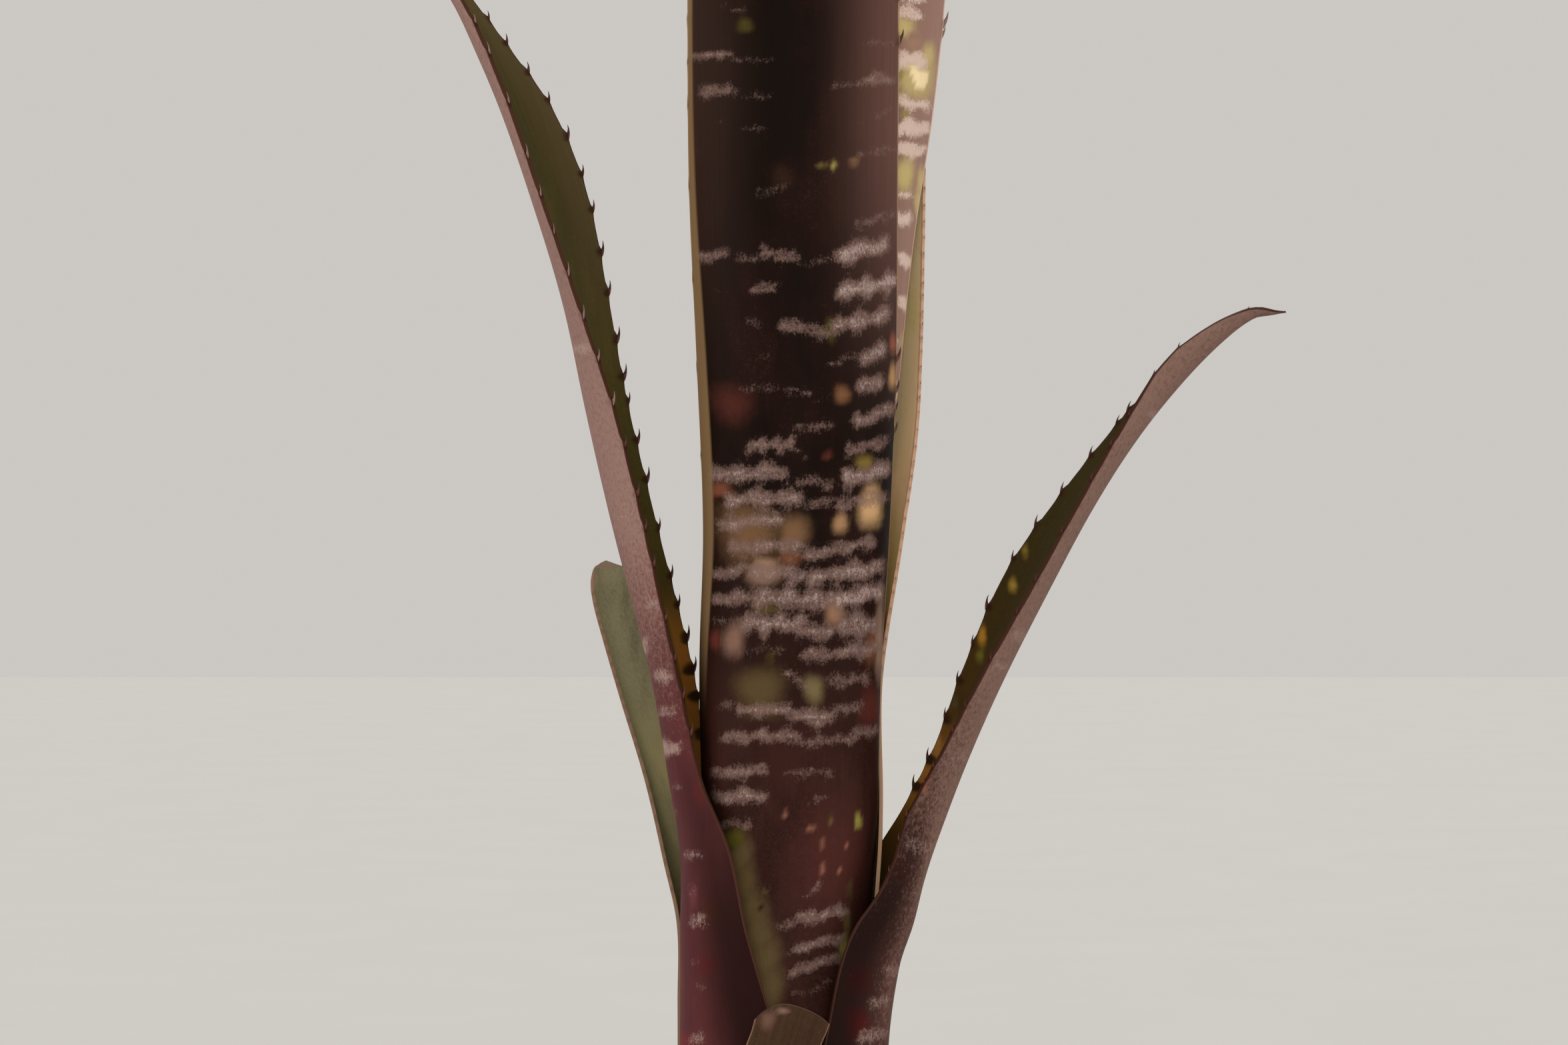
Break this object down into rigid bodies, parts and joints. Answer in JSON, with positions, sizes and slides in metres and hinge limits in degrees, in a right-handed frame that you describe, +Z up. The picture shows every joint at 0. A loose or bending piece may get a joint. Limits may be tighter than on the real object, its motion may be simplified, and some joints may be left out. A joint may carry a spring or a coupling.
{
  "type": "potted billbergia",
  "caption": "Tubular bromeliad in a plain round nursery pot: spiny strap leaves nest into an upright tube and arch out of it one by one.",
  "frame": {"origin": "centre of the pot's flat base, on the surface that the pot stands on", "axes": "+Z up along the tube of leaves; -Y is the front, the side that the picture shows; +X to the viewer's right"},
  "size_m": [0.2017, 0.1309, 0.4778],
  "materials": {
    "banded_leaf": "satin",
    "mauve_leaf": "matte",
    "green_leaf": "satin",
    "old_leaf": "matte",
    "stem": "matte",
    "potting_mix": "matte",
    "pot": "satin"
  },
  "bodies": {
    "root": {"pot": "pot", "potting_mix": "potting_mix", "stem": "stem", "leaf_left": "mauve_leaf", "leaf_right": "mauve_leaf", "leaf_front": "banded_leaf", "leaf_inner_right": "banded_leaf", "leaf_back": "green_leaf", "leaf_centre": "green_leaf", "leaf_short_back_left": "green_leaf", "leaf_short_front": "old_leaf"}
  },
  "joints": []
}
